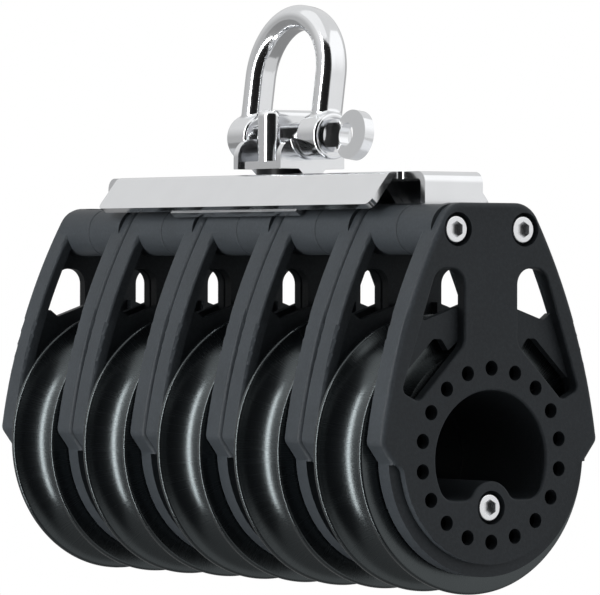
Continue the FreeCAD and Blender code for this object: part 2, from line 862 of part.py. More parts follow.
def build_cradle():
    """A folded cradle: a floor under the post, and two notched sides that keep the pin's ears apart."""
    label = "swivel_cradle"
    body = new_body(label)
    floor = new_sketch(body, f"{label}_floor_outline", "XY_Plane", CRADLE_BOTTOM)
    add_outline(floor, rectangle("cradle_half", "-post_length / 2", "post_length / 2"))
    pad(body, floor, "cradle_sheet", f"{label}_floor")
    for side, sign in (("near", ""), ("far", "-")):
        wall = new_sketch(body, f"{label}_{side}_wall_outline", "YZ_Plane", f"{sign}cradle_half")
        add_outline(wall, [
            ("tab_bottom_half", "strap_top + turn_gap"),
            ("tab_top_half", CRADLE_BOTTOM),
            ("cradle_side_half", CRADLE_BOTTOM),
            ("cradle_side_half", "cradle_top - cradle_corner"),
            ("cradle_side_half - cradle_corner", "cradle_top", "cradle_corner"),
            ("cradle_notch", "cradle_top"),
            ("0", "cradle_top - cradle_notch", "-cradle_notch"),
            ("-cradle_notch", "cradle_top", "-cradle_notch"),
            ("-cradle_side_half + cradle_corner", "cradle_top"),
            ("-cradle_side_half", "cradle_top - cradle_corner", "cradle_corner"),
            ("-cradle_side_half", CRADLE_BOTTOM),
            ("-tab_top_half", CRADLE_BOTTOM),
            ("-tab_bottom_half", "strap_top + turn_gap"),
        ])
        pad(body, wall, "cradle_sheet", f"{label}_{side}_wall", reverse=not sign)
    hole = new_sketch(body, f"{label}_stud_outline", "XY_Plane", CRADLE_BOTTOM)
    add_circle(hole, "stud_radius + stud_play")
    pocket(body, hole, "cradle_sheet", f"{label}_stud_hole", reverse=True)
    return body


def build_post():
    """The swivel post: an upright slab with round ends, bored for the pin, on a turned stud."""
    label = "swivel_post"
    body = new_body(label)
    slab = new_sketch(body, f"{label}_slab_outline", "XY_Plane", CRADLE_FLOOR)
    add_outline(slab, stadium("post_thickness / 2", "post_length / 2"))
    pad(body, slab, f"post_top - ({CRADLE_FLOOR})", f"{label}_slab")
    round_edges(body, f"{label}_crown", "post_round", at_height("post_top"))
    stud = new_sketch(body, f"{label}_stud_outline", "XY_Plane", CRADLE_FLOOR)
    add_circle(stud, "stud_radius")
    pad(body, stud, f"{CRADLE_FLOOR} - ({NUT_BOTTOM})", f"{label}_stud", reverse=True)
    bore = new_sketch(body, f"{label}_bore_outline", "YZ_Plane")
    add_circle(bore, "pin_radius + pin_play", "0", "pin_height")
    pocket(body, bore, "2 * post_thickness", f"{label}_bore", middle=True)
    return body


def at_height(z):
    """A test for edges that lie at one height."""
    level = size(z)

    def test(edge, middle, along):
        places = [vertex.Point.z for vertex in edge.Vertexes] + [middle.z]
        return all(abs(height - level) < EXACT for height in places)

    return test


NUT_TOP = "strap_top - strap_sheet - load_play - load_sheet - turn_gap"
NUT_BOTTOM = f"{NUT_TOP} - nut_height"


def build_stud_nut():
    """The round nut that holds the stud up under the load plate."""
    label = "stud_nut"
    body = new_body(label)
    disc = new_sketch(body, f"{label}_outline", "XY_Plane", NUT_TOP)
    add_circle(disc, "nut_radius")
    pad(body, disc, "nut_height", f"{label}_disc", reverse=True)
    hole = new_sketch(body, f"{label}_hole_outline", "XY_Plane", NUT_TOP)
    add_circle(hole, "stud_radius")
    pocket(body, hole, "nut_height", f"{label}_hole")
    return body


# Shackle. Bow and pin are drawn with the pin's axis on X and the bow upright, then leaned together.

EAR_OUT = "leg_spacing / 2 + ear_thickness / 2"


def lean(thing):
    """Set the shackle's pieces on the pin's axis and lean them together."""
    place(thing, "0", "0", "pin_height", (FreeCAD.Vector(-1, 0, 0), "shackle_lean"))


def build_bow():
    """The forged bow: a rod with rounded sides bent to a U, with a bored ear on each leg."""
    label = "shackle_bow"
    body = new_body(label)
    half = "leg_spacing / 2"
    spring = f"bow_height - bow_thickness / 2 - {half}"
    legs = new_sketch(body, f"{label}_legs_section", "XY_Plane")
    for side in ("", "-"):
        add_outline(legs, stadium("bow_thickness / 2", "bow_width / 2", f"{side}{half}"))
    pad(body, legs, spring, f"{label}_legs")
    crown = new_sketch(body, f"{label}_crown_section", "XY_Plane", spring)
    add_outline(crown, stadium("bow_thickness / 2", "bow_width / 2", half))
    turn = revolve(body, crown, f"{label}_crown", "V_Axis", HALF_TURN)
    turn.Reversed = True
    doc.recompute()
    for side, sign in (("near", ""), ("far", "-")):
        ear = new_sketch(body, f"{label}_{side}_ear_outline", "YZ_Plane", f"{sign}({EAR_OUT})")
        add_circle(ear, "ear_radius")
        pad(body, ear, "ear_thickness", f"{label}_{side}_ear", reverse=not sign)
    round_edges(body, f"{label}_ear_rounds", "ear_round", ear_faces)
    round_edges(body, f"{label}_ear_blends", "ear_blend", ear_roots)
    bore = new_sketch(body, f"{label}_bore_outline", "YZ_Plane")
    add_circle(bore, "pin_radius + pin_play")
    pocket(body, bore, f"2 * ({EAR_OUT}) + ear_thickness", f"{label}_bore", middle=True)
    sink = new_sketch(body, f"{label}_sink_outline", "YZ_Plane", EAR_OUT)
    add_circle(sink, "ear_sink_radius")
    pocket(body, sink, "ear_sink", f"{label}_sink")
    lean(body)
    return body


def ear_faces(edge, middle, along):
    """A test for the round edges of the ears' flat faces."""
    faces = [size(EAR_OUT), size(f"{EAR_OUT} - ear_thickness")]
    return any(in_plane_x(side * level)(edge, middle, along) for level in faces for side in (1, -1))


def ear_roots(edge, middle, along):
    """A test for the edges where the legs run into the ears."""
    at_ear = abs(math.hypot(middle.y, middle.z) - size("ear_radius")) < NEAR
    return at_ear and middle.z > 0 and abs(along.x) < 1 - EXACT and not ear_faces(edge, middle, along)


def build_pin():
    """The shackle pin: a shank, a collar sunk in the ear, and a flat eyed paddle to turn it by."""
    label = "shackle_pin"
    body = new_body(label)
    shank = new_sketch(body, f"{label}_shank_outline", "YZ_Plane", f"-({EAR_OUT})")
    add_circle(shank, "pin_radius")
    pad(body, shank, f"2 * ({EAR_OUT})", f"{label}_shank")
    collar = new_sketch(body, f"{label}_collar_outline", "YZ_Plane", f"{EAR_OUT} - ear_sink")
    add_circle(collar, "collar_radius")
    pad(body, collar, "collar_length", f"{label}_collar")
    paddle = new_sketch(body, f"{label}_paddle_outline", "XZ_Plane")
    add_circle(paddle, "paddle_radius", "paddle_centre")
    pad(body, paddle, "paddle_thickness", f"{label}_paddle", middle=True)
    neck = new_sketch(body, f"{label}_neck_outline", "XZ_Plane")
    add_outline(neck, [
        (f"{EAR_OUT}", "-paddle_neck"),
        ("paddle_centre", "-paddle_neck"),
        ("paddle_centre", "paddle_neck"),
        (f"{EAR_OUT}", "paddle_neck"),
    ])
    pad(body, neck, "paddle_thickness", f"{label}_neck", middle=True)
    eye = new_sketch(body, f"{label}_eye_outline", "XZ_Plane")
    add_circle(eye, "eye_radius", "eye_centre")
    pocket(body, eye, "2 * paddle_thickness", f"{label}_eye", middle=True)
    lean(body)
    return body


def build_all():
    """Every node of the block, by name."""
    nodes = [build_bow(), build_pin(), build_post(), build_cradle(), build_washer(), build_stud_nut(),
             build_strap(), build_load_plate()]
    plain = build_cheek("cheek_design", False)
    seated = build_cheek("end_cheek_design", True)
    turned = build_sheave("sheave_design")
    rows = build_balls("balls_design")
    for number in range(1, MODULES + 1):
        near = copy_of(f"cheek_{number}_near", seated if number == 1 else plain)
        place(near, f"{STACK_HALF} - {number - 1} * pitch")
        far = copy_of(f"cheek_{number}_far", seated if number == MODULES else plain)
        place(far, f"{STACK_HALF} - {number} * pitch", turn=(FreeCAD.Vector(0, 0, 1), f"{HALF_TURN}"))
        sheave = copy_of(f"sheave_{number}", turned)
        balls = group_of(f"balls_{number}", [rows])
        for piece in (sheave, balls):
            place(piece, f"{STACK_HALF} - ({number} - 1 / 2) * pitch")
        nodes += [near, far, sheave, balls]
    head_bolts = [build_bolt(f"head_bolt_{number}", *BOLTS[number - 1]) for number in (1, 2)]
    head_nuts = [build_nut(f"head_nut_{number}", *BOLTS[number - 1]) for number in (1, 2)]
    nodes += [group_of("head_bolts", head_bolts), group_of("head_nuts", head_nuts)]
    nodes += [build_bolt("hub_bolt", *BOLTS[2]), build_nut("hub_nut", *BOLTS[2])]
    return nodes


def check_document():
    """Stop if any object failed to build."""
    for item in doc.Objects:
        if "Invalid" in item.State or "Error" in item.State:
            raise RuntimeError(f"{item.Label} failed: {item.State}")


def write_nodes(nodes):
    """Check every node's solids and write one STEP file each."""
    for node in nodes:
        shape = node.Shape
        if shape.isNull() or not shape.isValid() or not shape.Solids:
            raise RuntimeError(f"{node.Label} has no sound solid")
    os.makedirs("parts", exist_ok=True)
    for node in nodes:
        node.Shape.exportStep(f"parts/{node.Label}.step")


if __name__ == "__main__":
    NODES = build_all()
    doc.recompute()
    check_document()
    write_nodes(NODES)
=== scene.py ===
"""Dresses the five-sheave block: studio, camera, finishes and the pieces that need finer shapes."""
import math

import bmesh
import bpy
from mathutils import Matrix, Vector


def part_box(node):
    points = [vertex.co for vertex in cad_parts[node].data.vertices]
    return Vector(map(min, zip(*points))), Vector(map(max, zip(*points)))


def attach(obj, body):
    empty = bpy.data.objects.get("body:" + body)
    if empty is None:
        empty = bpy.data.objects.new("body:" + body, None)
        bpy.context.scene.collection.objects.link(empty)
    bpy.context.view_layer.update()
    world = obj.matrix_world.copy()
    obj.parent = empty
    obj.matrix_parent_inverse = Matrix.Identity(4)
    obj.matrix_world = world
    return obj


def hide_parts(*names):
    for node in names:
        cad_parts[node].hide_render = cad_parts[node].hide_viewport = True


bl_info = {
    "name": "Five-sheave block",
    "version": (1, 0, 0),
    "blender": (4, 5, 0),
    "location": "3D View > Sidebar > Block",
    "description": "Builds the finishes, finer pieces and studio of a five-sheave block",
    "category": "Object",
}

MM = 0.001
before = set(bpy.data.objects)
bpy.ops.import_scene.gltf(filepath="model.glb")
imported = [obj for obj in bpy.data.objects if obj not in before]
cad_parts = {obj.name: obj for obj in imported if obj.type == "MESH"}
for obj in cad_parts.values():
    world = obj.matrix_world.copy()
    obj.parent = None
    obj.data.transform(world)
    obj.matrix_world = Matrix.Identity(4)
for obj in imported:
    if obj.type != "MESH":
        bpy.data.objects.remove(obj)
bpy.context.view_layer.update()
MODULES = range(1, 6)
CHEEKS = [f"cheek_{number}_{side}" for number in MODULES for side in ("near", "far")]
SHEAVES = [f"sheave_{number}" for number in MODULES]
BALLS = [f"balls_{number}" for number in MODULES]


# Shader expressions

class Socket:
    """A shader value. Operators on it add Math nodes."""

    def __init__(self, tree, link):
        self.tree = tree
        self.link = link

    def math(self, operation, *others):
        return self.tree.node("ShaderNodeMath", {"operation": operation}, [self, *others])

    def __add__(self, other):
        return self.math("ADD", other)

    def __radd__(self, other):
        return self.math("ADD", other)

    def __sub__(self, other):
        return self.math("SUBTRACT", other)

    def __rsub__(self, other):
        return self.tree.node("ShaderNodeMath", {"operation": "SUBTRACT"}, [other, self])

    def __mul__(self, other):
        return self.math("MULTIPLY", other)

    def __rmul__(self, other):
        return self.math("MULTIPLY", other)

    def clamped(self):
        return self.tree.node("ShaderNodeClamp", {}, [self])


class Tree:
    """A material's or world's node tree."""

    def __init__(self, owner):
        owner.use_nodes = True
        self.tree = owner.node_tree
        self.tree.nodes.clear()

    def node(self, kind, settings, inputs, output=0):
        """Add one node: its settings first, then its sockets by order or by name.

        It gives the output that is asked for, or a list of them where their names come as a tuple.
        """
        node = self.tree.nodes.new(kind)
        for name, value in settings.items():
            if name == "stops":
                self.set_stops(node.color_ramp, value)
            else:
                setattr(node, name, value)
        pairs = inputs.items() if isinstance(inputs, dict) else enumerate(inputs)
        for key, value in pairs:
            if isinstance(value, Socket):
                self.tree.links.new(value.link, node.inputs[key])
            else:
                node.inputs[key].default_value = value
        if isinstance(output, tuple):
            return [Socket(self, node.outputs[name]) for name in output]
        return Socket(self, node.outputs[output]) if node.outputs else None

    @staticmethod
    def set_stops(ramp, stops):
        while len(ramp.elements) < len(stops):
            ramp.elements.new(1.0)
        for element, (place, value) in zip(ramp.elements, stops):
            element.position = place
            element.color = colour(value, value, value)

    def vector(self, operation, inputs, output=0):
        return self.node("ShaderNodeVectorMath", {"operation": operation}, inputs, output)

    def place(self):
        """A point's place on its own piece, in metres."""
        return self.node("ShaderNodeTexCoord", {}, [], "Object")

    def stretched(self, place, scale):
        """A place with a scale for each axis."""
        return self.node("ShaderNodeMapping", {}, {"Vector": place, "Scale": scale})

    def spokes(self, place, along, around):
        """A place that changes quickly round the X axis, slowly along it, and not at all away from it."""
        radial = self.vector("MULTIPLY", [place, (0.0, 1.0, 1.0)])
        unit = self.vector("NORMALIZE", [radial])
        turned = self.vector("SCALE", {0: unit, "Scale": around})
        axial = self.vector("MULTIPLY", [place, (along, 0.0, 0.0)])
        return self.vector("ADD", [turned, axial])

    def noise(self, place, scale, detail, roughness):
        inputs = {"Vector": place, "Scale": scale, "Detail": detail, "Roughness": roughness}
        return self.node("ShaderNodeTexNoise", {}, inputs, "Fac")

    def ramp(self, value, stops):
        return self.node("ShaderNodeValToRGB", {"stops": stops}, [value])

    def patches(self, noise, start, full):
        """What stands out of a noise: nothing up to start, all of it from full."""
        return self.ramp(noise, [(start, 0.0), (full, 1.0)])

    def blend(self, share, first, second):
        """Mix two colours."""
        return self.node("ShaderNodeMix", {"data_type": "RGBA"}, {0: share, 6: first, 7: second}, 2)

    def bump(self, height, distance, strength=1.0):
        return self.node("ShaderNodeBump", {}, {"Strength": strength, "Distance": distance, "Height": height})

    def surface(self, **inputs):
        """End in a Principled shader, with its sockets given by name."""
        named = {name.replace("_", " "): value for name, value in inputs.items()}
        shader = self.node("ShaderNodeBsdfPrincipled", {}, named)
        self.node("ShaderNodeOutputMaterial", {}, {"Surface": shader})


def colour(red, green, blue):
    return (red, green, blue, 1.0)


WHITE = colour(1.0, 1.0, 1.0)


def toned(base, times):
    """A colour made so many times as bright."""
    return colour(*(times * value for value in base[:3]))


def sway(noise, reach):
    """A noise moved to lie round zero, and scaled to a reach."""
    middle = 0.5
    return (noise - middle) * reach


def moulded_plastic(name, base, pale, roughness, grain):
    """Fine-grained moulded plastic with faint flow marks.

    The marks are pale times as bright as the base, and grain is the depth of the grain in metres.
    """
    material = bpy.data.materials.new(name)
    tree = Tree(material)
    place = tree.place()
    fine = tree.noise(place, scale=2600.0, detail=3.0, roughness=0.7)
    cloud = tree.noise(place, scale=90.0, detail=4.0, roughness=0.55)
    dots = tree.noise(place, scale=1500.0, detail=3.0, roughness=0.7)
    speckle = tree.patches(dots, start=0.42, full=0.72)
    tint = (cloud * 0.6 + speckle * 0.4).clamped()
    tree.surface(
        Base_Color=tree.blend(tint, base, toned(base, pale)),
        Roughness=(roughness + sway(cloud, 0.12) + speckle * 0.05).clamped(),
        Normal=tree.bump(fine, grain),
        Specular_IOR_Level=0.18,
    )
    return material


def turned_plastic(name, base, roughness):
    """Glossy black plastic with fine lines across its groove."""
    material = bpy.data.materials.new(name)
    tree = Tree(material)
    place = tree.place()
    lines = tree.noise(tree.spokes(place, along=60.0, around=90.0), scale=1.0, detail=4.0, roughness=0.7)
    cloud = tree.noise(place, scale=120.0, detail=3.0, roughness=0.5)
    rubs = tree.noise(tree.spokes(place, along=60.0, around=9.0), scale=1.0, detail=5.0, roughness=0.7)
    scuffs = tree.patches(rubs, start=0.5, full=0.8)
    tint = (cloud * 0.5 + scuffs * 0.5).clamped()
    tree.surface(
        Base_Color=tree.blend(tint, base, toned(base, 1.5)),
        Roughness=(roughness + sway(lines, 0.12) + scuffs * 0.04).clamped(),
        Normal=tree.bump(lines, 0.007 * MM),
        Specular_IOR_Level=0.9,
        Specular_Tint=colour(0.86, 0.97, 1.0),
    )
    return material


# Scales of the polishing lines on each axis
LINES_ALONG_X = (20.0, 900.0, 900.0)
LINES_ALL_WAYS = (300.0, 300.0, 300.0)


def polished_steel(name, base, roughness, brush):
    """Polished stainless steel with faint polishing lines."""
    material = bpy.data.materials.new(name)
    tree = Tree(material)
    place = tree.place()
    lines = tree.noise(tree.stretched(place, brush), scale=1.0, detail=3.0, roughness=0.6)
    cloud = tree.noise(place, scale=160.0, detail=3.0, roughness=0.5)
    tree.surface(
        Base_Color=tree.blend(cloud, base, toned(base, 0.93)),
        Metallic=1.0,
        Roughness=(roughness + sway(lines, 0.05) + sway(cloud, 0.03)).clamped(),
        Normal=tree.bump(lines, 0.002 * MM, strength=0.4),
    )
    return material


# Geometry

class Maker(Tree):
    """A geometry tree with named inputs."""

    def __init__(self, name, inputs):
        self.tree = bpy.data.node_groups.new(name, "GeometryNodeTree")
        self.keys = {}
        sockets = self.tree.interface
        sockets.new_socket("Geometry", in_out="INPUT", socket_type="NodeSocketGeometry")
        for label, kind in inputs.items():
            self.keys[label] = sockets.new_socket(label, in_out="INPUT", socket_type=kind).identifier
        sockets.new_socket("Geometry", in_out="OUTPUT", socket_type="NodeSocketGeometry")
        self.source = self.tree.nodes.new("NodeGroupInput")

    def given(self, label):
        return Socket(self, self.source.outputs[label])

    def end(self, mesh, material):
        """End in Realize Instances and Set Material."""
        whole = self.node("GeometryNodeRealizeInstances", {}, [mesh])
        finished = self.node("GeometryNodeSetMaterial", {}, {"Geometry": whole, "Material": material})
        self.node("NodeGroupOutput", {}, [finished])

    def apply(self, piece, values):
        """Run the tree on a piece and keep the result as its plain mesh."""
        modifier = piece.modifiers.new("maker", "NODES")
        modifier.node_group = self.tree
        for label, value in values.items():
            modifier[self.keys[label]] = value
        view = bpy.context.evaluated_depsgraph_get()
        view.update()
        made = bpy.data.meshes.new_from_object(piece.evaluated_get(view))
        piece.modifiers.clear()
        piece.data = made


def new_piece(name, points, edges=(), faces=()):
    """A mesh object at the origin, in the scene."""
    mesh = bpy.data.meshes.new(name)
    mesh.from_pydata(points, edges, faces)
    piece = bpy.data.objects.new(name, mesh)
    bpy.context.scene.collection.objects.link(piece)
    return piece


SMOOTH_ANGLE = math.radians(38.0)
# Distances, in metres, within which points are merged: of a CAD node's triangles, and at a turned seam
WELD = 1e-6
SEAM = 1e-7


def smooth_tree():
    """Merge a node's loose triangles and shade it smooth, apart from its sharp edges.

    A carried node keeps this as a live modifier. It makes no instances and leaves the material alone.
    """
    maker = Maker("smooth_faces", {})
    loose = maker.given("Geometry")
    merged = maker.node("GeometryNodeMergeByDistance", {}, {"Geometry": loose, "Distance": WELD})
    angle = maker.node("GeometryNodeInputMeshEdgeAngle", {}, [])
    compare = {"data_type": "FLOAT", "operation": "LESS_EQUAL"}
    gentle = maker.node("FunctionNodeCompare", compare, [angle, SMOOTH_ANGLE])
    rounded = maker.node("GeometryNodeSetShadeSmooth", {"domain": "FACE"}, [merged, True, True])
    creased = maker.node("GeometryNodeSetShadeSmooth", {"domain": "EDGE"}, [rounded, True, gentle])
    maker.node("NodeGroupOutput", {}, [creased])
    return maker.tree


def dress(names, material):
    """Give carried nodes a finish and smooth shading."""
    tree = bpy.data.node_groups.get("smooth_faces") or smooth_tree()
    for name in names:
        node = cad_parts[name]
        node.data.materials.clear()
        node.data.materials.append(material)
        smoother = node.modifiers.new("smooth", "NODES")
        smoother.node_group = tree
        weights = node.modifiers.new("weights", "WEIGHTED_NORMAL")
        weights.keep_sharp = True


# Studio

class BlockStudioSettings(bpy.types.PropertyGroup):
    """Camera and light."""

    lens: bpy.props.FloatProperty(name="Lens", description="Focal length", default=330.69, unit="CAMERA")
    camera: bpy.props.FloatVectorProperty(
        name="Camera", description="Where the camera stands", default=(0.95179, -0.68043, 0.03538),
        subtype="XYZ", unit="LENGTH")
    world: bpy.props.FloatProperty(
        name="World", description="Strength of the light from all round", default=0.1)
    key: bpy.props.FloatProperty(
        name="Key", description="Power of the main lamp", default=19.0, unit="POWER")


# The camera's axes, and level directions that follow from them
RIGHT = Vector((0.58323522, 0.81230172, 0.0016131))
RAISED = Vector((-0.00356664, 0.00057503, 0.99999347))
UP = Vector((0, 0, 1))
LEFT = Vector((-RIGHT.x, -RIGHT.y, 0)).normalized()
TOWARDS = Vector((RIGHT.y, -RIGHT.x, 0)).normalized()

# The camera's sensor width in millimetres, and how near and how far it sees, in metres like the rest below
SENSOR = 36.0
NEAREST = 0.05
FARTHEST = 50.0

# Lamps that point at the origin: name, distances to the left, towards the camera and up, width, height, and
# share of the main lamp's power
LAMPS = (
    ("left_lamp", 0.85, 0.62, 0.0, 0.2, 2.4, 1.0),
    ("right_lamp", -0.95, 0.35, 0.2, 2.4, 2.4, 0.4),
    ("top_lamp", 0.5, 0.1, 1.2, 1.4, 1.4, 0.09),
)

# The floor's height, half its width, and its grey
FLOOR = -1.4
FLOOR_HALF = 6.0
FLOOR_GREY = 0.8

# How bright reflections see the floor, the horizon and the sky. The sky's two heights are sines of the angle
# above the horizon, and it brightens from the first to the second.
FLOOR_GLOW = 0.3
HORIZON_GLOW = 0.5
SKY_GLOW = 0.82
SKY_START = 0.08
SKY_FULL = 0.45

# The dark card: its place and size, its own tone, and the share of its half width where it starts to pale
CARD_ASIDE = 0.12
CARD_AHEAD = 0.8
CARD_RISE = 0.06
CARD_WIDTH = 1.5
CARD_HEIGHT = 2.4
CARD_TONE = 0.012
CARD_FADE = 0.7


def studio_place(aside, ahead, rise):
    """A place in the studio, by its distances to the left, towards the camera and up."""
    return LEFT * aside + TOWARDS * ahead + UP * rise


def add_stage(name, corners, material):
    """A flat piece of the studio."""
    sheet = new_piece(name, corners, (), [(0, 1, 2, 3)])
    sheet.data.materials.append(material)
    return sheet


def either(tree, *names):
    """One where the ray is any of these kinds."""
    total, *others = tree.node("ShaderNodeLightPath", {}, [], names)
    for other in others:
        total = total.math("MAXIMUM", other)
    return total


def add_floor():
    """A pale floor that the camera sees as white."""
    half = FLOOR_HALF
    corners = [(-half, -half, FLOOR), (half, -half, FLOOR), (half, half, FLOOR), (-half, half, FLOOR)]
    material = bpy.data.materials.new("pale_floor")
    tree = Tree(material)
    seen = either(tree, "Is Camera Ray", "Is Transmission Ray")
    plain = tree.node("ShaderNodeBsdfDiffuse", {}, {"Color": colour(FLOOR_GREY, FLOOR_GREY, FLOOR_GREY)})
    white = tree.node("ShaderNodeEmission", {}, {"Color": WHITE, "Strength": 1.0})
    dim = tree.node("ShaderNodeEmission", {}, {"Color": WHITE, "Strength": FLOOR_GLOW})
    mirrored = tree.node("ShaderNodeMixShader", {}, [either(tree, "Is Glossy Ray"), plain, dim])
    mixed = tree.node("ShaderNodeMixShader", {}, [seen, mirrored, white])
    tree.node("ShaderNodeOutputMaterial", {}, {"Surface": mixed})
    add_stage("floor", corners, material)


def add_world(strength):
    """Surroundings that light the block evenly, look white, and are reflected grey below and pale above."""
    world = bpy.data.worlds.new("surroundings")
    bpy.context.scene.world = world
    tree = Tree(world)
    seen = either(tree, "Is Camera Ray", "Is Transmission Ray")
    lit = tree.node("ShaderNodeBackground", {}, {"Color": WHITE, "Strength": strength})
    direction = tree.node("ShaderNodeTexCoord", {}, [], "Generated")
    height = tree.vector("DOT_PRODUCT", {0: direction, 1: UP}, "Value")
    glow = tree.ramp(height, [(SKY_START, HORIZON_GLOW), (SKY_FULL, SKY_GLOW)])
    pale = tree.node("ShaderNodeBackground", {}, {"Color": glow, "Strength": 1.0})
    white = tree.node("ShaderNodeBackground", {}, {"Color": WHITE, "Strength": 1.0})
    mirrored = tree.node("ShaderNodeMixShader", {}, [either(tree, "Is Glossy Ray"), lit, pale])
    mixed = tree.node("ShaderNodeMixShader", {}, [seen, mirrored, white])
    tree.node("ShaderNodeOutputWorld", {}, {"Surface": mixed})


def add_lamp(name, place, width, height, power):
    """A rectangular lamp that points at the origin."""
    data = bpy.data.lights.new(name, "AREA")
    data.shape = "RECTANGLE"
    data.size = width
    data.size_y = height
    data.energy = power
    lamp = bpy.data.objects.new(name, data)
    lamp.location = place
    lamp.rotation_euler = (-place).to_track_quat("-Z", "Y").to_euler()
    bpy.context.scene.collection.objects.link(lamp)


def card_finish(name, place, across, width):
    """Dark along the card's middle, and as pale as the surroundings at its upright edges."""
    material = bpy.data.materials.new(name)
    tree = Tree(material)
    aside = tree.vector("DOT_PRODUCT", {0: tree.place(), 1: across}, "Value")
    share = ((aside - across.dot(place)).math("ABSOLUTE") * (2 / width)).clamped()
    tone = tree.ramp(share, [(CARD_FADE, CARD_TONE), (1.0, HORIZON_GLOW)])
    glow = tree.node("ShaderNodeEmission", {}, {"Color": tone, "Strength": 1.0})
    tree.node("ShaderNodeOutputMaterial", {}, {"Surface": glow})
    return material


def add_card(name, place, width, height):
    """An upright dark card, between the block and the camera, that only reflections show."""
    across = UP.cross(place).normalized()
    tall = UP * (height / 2)
    wide = across * (width / 2)
    corners = [place - wide - tall, place + wide - tall, place + wide + tall, place - wide + tall]
    card = add_stage(name, corners, card_finish(name, place, across, width))
    card.visible_camera = False
    card.visible_diffuse = False
    card.visible_shadow = False
    card.visible_transmission = False


def add_camera(settings):
    """A camera with the photograph's place, direction and lens."""
    data = bpy.data.cameras.new("camera")
    data.sensor_width = SENSOR
    data.lens = settings.lens
    data.clip_start = NEAREST
    data.clip_end = FARTHEST
    camera = bpy.data.objects.new("camera", data)
    turn = Matrix((RIGHT, RAISED, RIGHT.cross(RAISED))).transposed()
    camera.matrix_world = Matrix.Translation(Vector(settings.camera)) @ turn.to_4x4()
    bpy.context.scene.collection.objects.link(camera)
    bpy.context.scene.camera = camera


class BLOCK_OT_studio(bpy.types.Operator):
    """Build the floor, the surroundings, the lamps, the dark card and the camera"""

    bl_idname = "block.studio"
    bl_label = "Studio"

    def execute(self, context):
        settings = context.scene.block_studio
        add_floor()
        add_world(settings.world)
        for name, aside, ahead, rise, width, height, share in LAMPS:
            add_lamp(name, studio_place(aside, ahead, rise), width, height, settings.key * share)
        add_card("front_card", studio_place(CARD_ASIDE, CARD_AHEAD, CARD_RISE), CARD_WIDTH, CARD_HEIGHT)
        add_camera(settings)
        context.scene.view_settings.view_transform = "Standard"
        return {"FINISHED"}


# The block

class BlockFinishSettings(bpy.types.PropertyGroup):
    """Colours of the block."""

    cheek: bpy.props.FloatVectorProperty(
        name="Cheek", description="Colour of the moulded cheeks", subtype="COLOR", size=4,
        default=(0.029, 0.0335, 0.038, 1.0))
    sheave: bpy.props.FloatVectorProperty(
        name="Sheave", description="Colour of the sheaves", subtype="COLOR", size=4,
        default=(0.003, 0.0036, 0.0043, 1.0))
    steel: bpy.props.FloatVectorProperty(
        name="Steel", description="Colour of the polished steel", subtype="COLOR", size=4,
        default=(0.80, 0.81, 0.825, 1.0))


class BLOCK_OT_cheeks(bpy.types.Operator):
    """Finish the cheeks"""

    bl_idname = "block.cheeks"
    bl_label = "Cheeks"

    def execute(self, context):
        base = tuple(context.scene.block_finish.cheek)
        plastic = moulded_plastic("cheek_plastic", base, pale=2.0, roughness=0.46, grain=0.035 * MM)
        dress(CHEEKS, plastic)
        return {"FINISHED"}


class BlockSheaveSettings(bpy.types.PropertyGroup):
    """Sizes of a sheave that its CAD box doesn't give."""

    lip: bpy.props.FloatProperty(
        name="Lip", description="Thickness of a flange at its rim", default=1.3 * MM, unit="LENGTH")
    lip_round: bpy.props.FloatProperty(
        name="Lip rounding", description="Radius along the edges of a flange", default=0.6 * MM,
        unit="LENGTH")
    flange: bpy.props.FloatProperty(
        name="Flange", description="Half the width over the flanges", default=8.2 * MM, unit="LENGTH")
    root: bpy.props.FloatProperty(
        name="Root", description="Radius of the groove's root", default=22.6 * MM, unit="LENGTH")
    neck: bpy.props.FloatProperty(
        name="Neck", description="Radius of the race rings", default=21.9 * MM, unit="LENGTH")
    bore: bpy.props.FloatProperty(
        name="Bore", description="Radius that the balls run on", default=20.01 * MM, unit="LENGTH")
    rib: bpy.props.FloatProperty(
        name="Rib", description="Radius inside the thrust rib", default=18.3 * MM, unit="LENGTH")
    rib_half: bpy.props.FloatProperty(
        name="Rib half width", description="Half the width of the thrust rib", default=6.84 * MM,
        unit="LENGTH")
    segments: bpy.props.IntProperty(name="Segments", description="Steps round the sheave", default=256)


# Straight steps round a corner, and from a lip to the middle of the groove
CORNER_STEPS = 5
GROOVE_STEPS = 32
# A section's point that is nearer than this to its middle has no mirrored twin
ON_MIDDLE = 1e-6


def rounded_corner(before, corner, after, radius):
    """Points of an arc that rounds a corner between two straight runs."""
    corner, before, after = Vector(corner), Vector(before), Vector(after)
    first = (before - corner).normalized()
    second = (after - corner).normalized()
    half = first.angle(second) / 2
    centre = corner + (first + second).normalized() * (radius / math.sin(half))
    start = corner + first * (radius / math.tan(half))
    stop = corner + second * (radius / math.tan(half))
    spread = (start - centre).angle(stop - centre)
    axis = (start - centre).cross(stop - centre).normalized()
    turns = [Matrix.Rotation(spread * step / CORNER_STEPS, 3, axis) for step in range(CORNER_STEPS + 1)]
    return [centre + turn @ (start - centre) for turn in turns]


